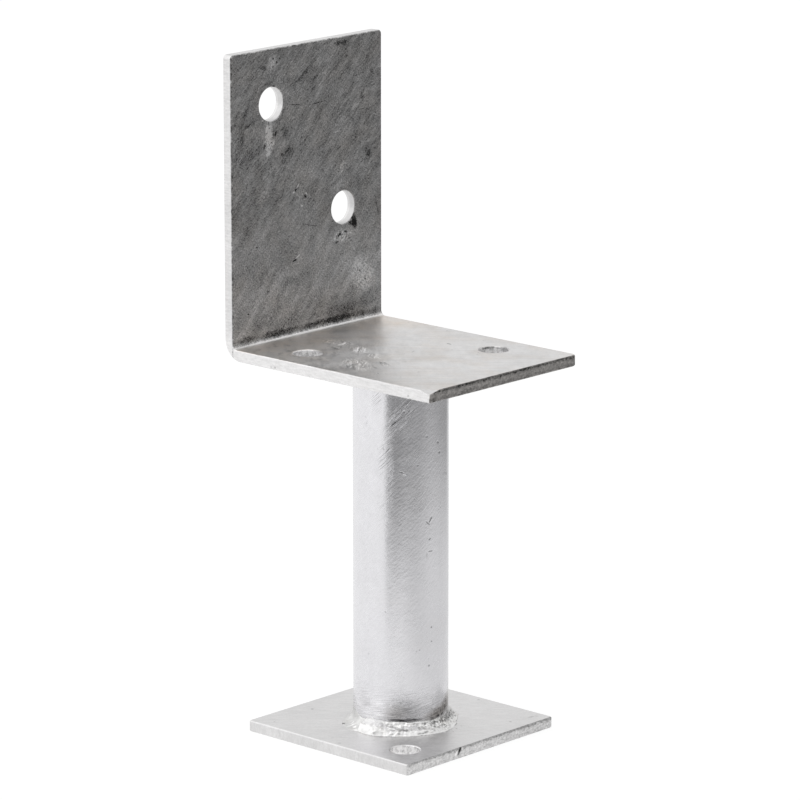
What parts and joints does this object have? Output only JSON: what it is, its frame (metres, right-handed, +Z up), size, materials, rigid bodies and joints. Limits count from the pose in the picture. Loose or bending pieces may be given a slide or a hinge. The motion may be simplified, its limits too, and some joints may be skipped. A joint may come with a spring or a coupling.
{
  "type": "timber post base",
  "caption": "Welded galvanised post base: a folded L bracket with a flat seat and one drilled upright, on a round tube with a square foot plate.",
  "frame": {"origin": "middle of the foot plate's underside, on the tube's axis", "axes": "+Z up the tube, +X from the upright towards the seat's free end, +Y across the bar"},
  "size_m": [0.097, 0.0764, 0.242],
  "materials": {
    "plate_zinc": "hot-dip galvanised flat bar, dull and mottled",
    "tube_zinc": "hot-dip galvanised tube, finely brushed",
    "weld_zinc": "hot-dip galvanised weld bead, bright and rough"
  },
  "bodies": {
    "root": {"base_plate": "plate_zinc", "tube": "tube_zinc", "bracket": "plate_zinc", "foot_weld": "weld_zinc", "seat_weld": "weld_zinc"}
  },
  "joints": []
}
